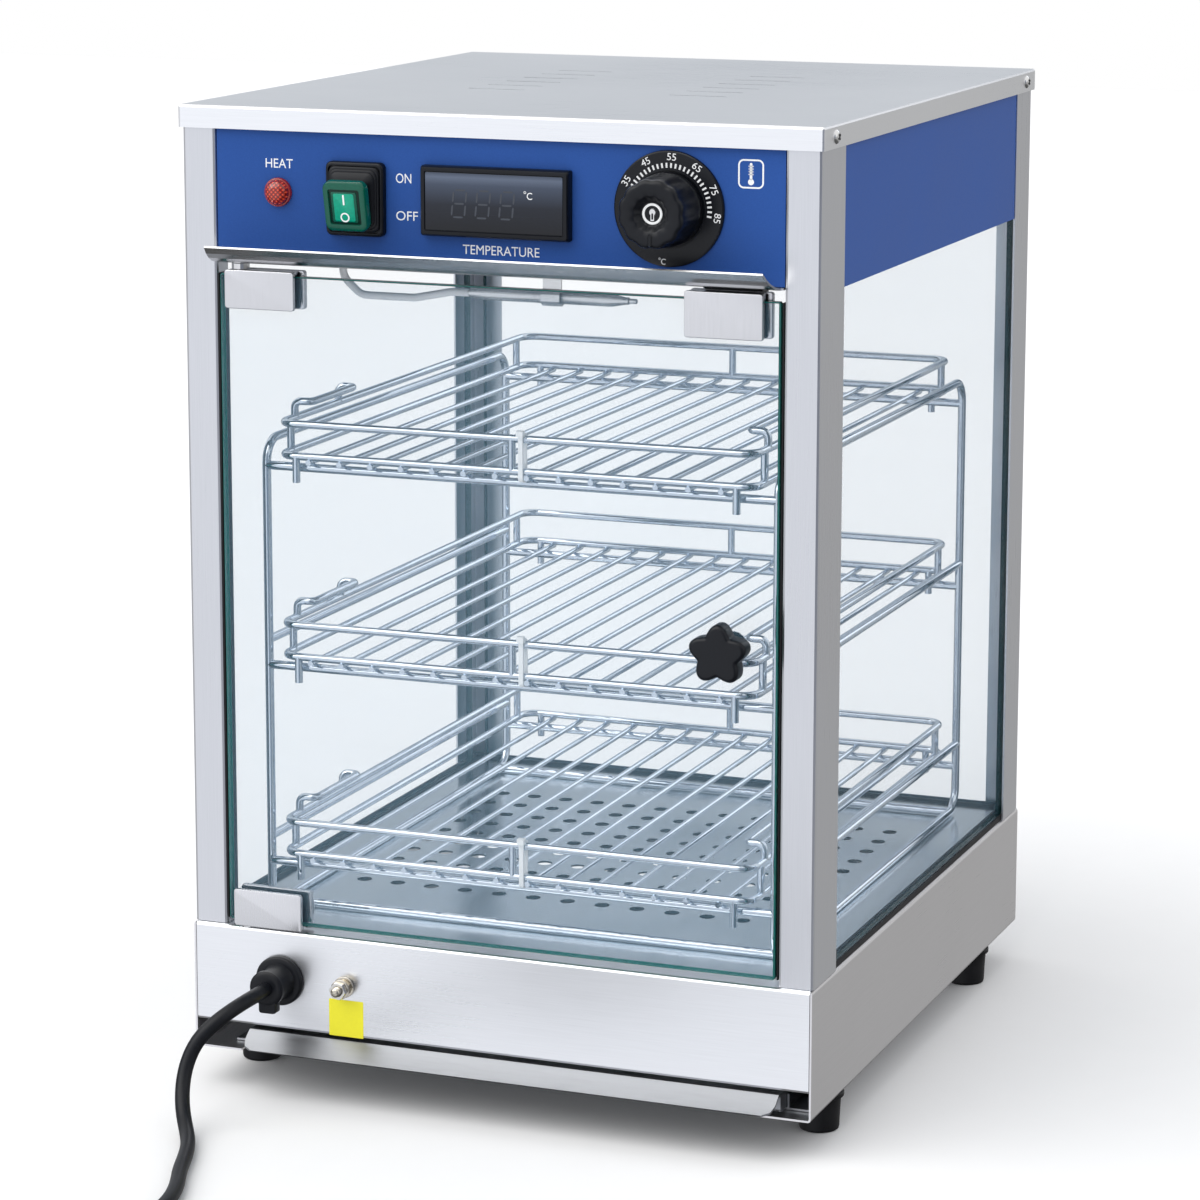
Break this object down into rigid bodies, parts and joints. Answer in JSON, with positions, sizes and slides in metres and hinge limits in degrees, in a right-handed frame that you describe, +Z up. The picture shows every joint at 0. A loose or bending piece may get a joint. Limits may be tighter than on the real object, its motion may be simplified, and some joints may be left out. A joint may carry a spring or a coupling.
{
  "type": "heated display case",
  "caption": "Countertop heated display case: glazed steel cabinet with a pivoted glass door, lift-out wire shelves, crumb tray, thermostat, rocker switch and corded plug.",
  "frame": {"origin": "middle of the cabinet's footprint, at the height of the feet's undersides; the cord, coil and plug are left out of the middle", "axes": "+Z up, -Y out of the door, +X to the right of someone who faces the door"},
  "size_m": [0.338, 0.6983, 0.508],
  "materials": {
    "stainless": "brushed stainless sheet",
    "blue_coat": "blue powder coat, satin",
    "chromed_wire": "polished chrome",
    "clear_glass": "clear tempered glass with a green edge",
    "black_rubber": "matt black rubber",
    "black_plastic": "black plastic",
    "green_rocker": "translucent green",
    "red_lens": "red lamp lens",
    "white_sleeve": "white sleeving and ceramic",
    "nickel_brass": "nickel-plated brass"
  },
  "bodies": {
    "cabinet": {"top_cover": "stainless", "ceiling_plate": "stainless", "post_front_left": "stainless", "post_front_right": "stainless", "post_rear_left": "stainless", "post_rear_right": "stainless", "base_front_panel": "stainless", "base_side_left": "stainless", "base_side_right": "stainless", "base_rear_panel": "stainless", "floor_plate": "stainless", "tray_rail_left": "stainless", "tray_rail_right": "stainless", "heating_element": "stainless", "heater_bracket": "stainless", "thermostat_body": "stainless", "sensor_probe": "stainless", "probe_clip": "stainless", "pivot_pin_top": "stainless", "pivot_pin_bottom": "stainless", "control_panel": "blue_coat", "side_band_left": "blue_coat", "side_band_right": "blue_coat", "rear_band": "blue_coat", "side_glass_left": "clear_glass", "side_glass_right": "clear_glass", "rear_glass": "clear_glass", "glass_seal": "black_rubber", "foot_front_left": "black_rubber", "foot_front_right": "black_rubber", "foot_rear_left": "black_rubber", "foot_rear_right": "black_rubber", "cord_gland": "black_rubber", "supply_cord": "black_rubber", "cord_coil": "black_rubber", "mains_plug": "black_rubber", "terminal_block": "white_sleeve", "wiring_loom": "white_sleeve", "sensor_lead": "white_sleeve", "earth_stud": "nickel_brass", "earth_nut": "nickel_brass", "heat_lamp": "red_lens", "switch_housing": "black_plastic", "thermometer_housing": "black_plastic", "thermometer_window": "black_plastic", "dial_plate": "black_plastic", "magnet_catch": "black_plastic", "shelf_stand": "chromed_wire"},
    "door": {"door_glass": "clear_glass", "hinge_clamp_top": "chromed_wire", "hinge_clamp_bottom": "chromed_wire", "catch_clip": "chromed_wire", "door_knob": "black_plastic", "door_knob_nut": "stainless"},
    "temperature_knob": {"thermostat_knob": "black_plastic"},
    "power_rocker": {"switch_rocker": "green_rocker"},
    "upper_shelf": {"shelf_top": "chromed_wire"},
    "centre_shelf": {"shelf_middle": "chromed_wire"},
    "lower_shelf": {"shelf_bottom": "chromed_wire"},
    "tray": {"crumb_tray": "stainless"}
  },
  "joints": [
    {"name": "door_hinge", "type": "hinge", "parent": "cabinet", "child": "door", "pos_m": [-0.137, -0.17195, 0.2574], "axis": [0, 0, -1], "range_deg": [0, 110]},
    {"name": "thermostat_turn", "type": "hinge", "parent": "cabinet", "child": "temperature_knob", "pos_m": [0.0908, -0.17505, 0.4663], "axis": [0, 1, 0], "range_deg": [0, 280]},
    {"name": "switch_rock", "type": "hinge", "parent": "cabinet", "child": "power_rocker", "pos_m": [-0.0725, -0.18045, 0.4645], "axis": [-1, 0, 0], "range_deg": [0, 24]},
    {"name": "upper_shelf_lift", "type": "slide", "parent": "cabinet", "child": "upper_shelf", "axis": [0, 0, 1], "range_m": [0, 0.014]},
    {"name": "centre_shelf_lift", "type": "slide", "parent": "cabinet", "child": "centre_shelf", "axis": [0, 0, 1], "range_m": [0, 0.014]},
    {"name": "lower_shelf_lift", "type": "slide", "parent": "cabinet", "child": "lower_shelf", "axis": [0, 0, 1], "range_m": [0, 0.014]},
    {"name": "tray_slide", "type": "slide", "parent": "cabinet", "child": "tray", "axis": [0, -1, 0], "range_m": [0, 0.24]}
  ]
}
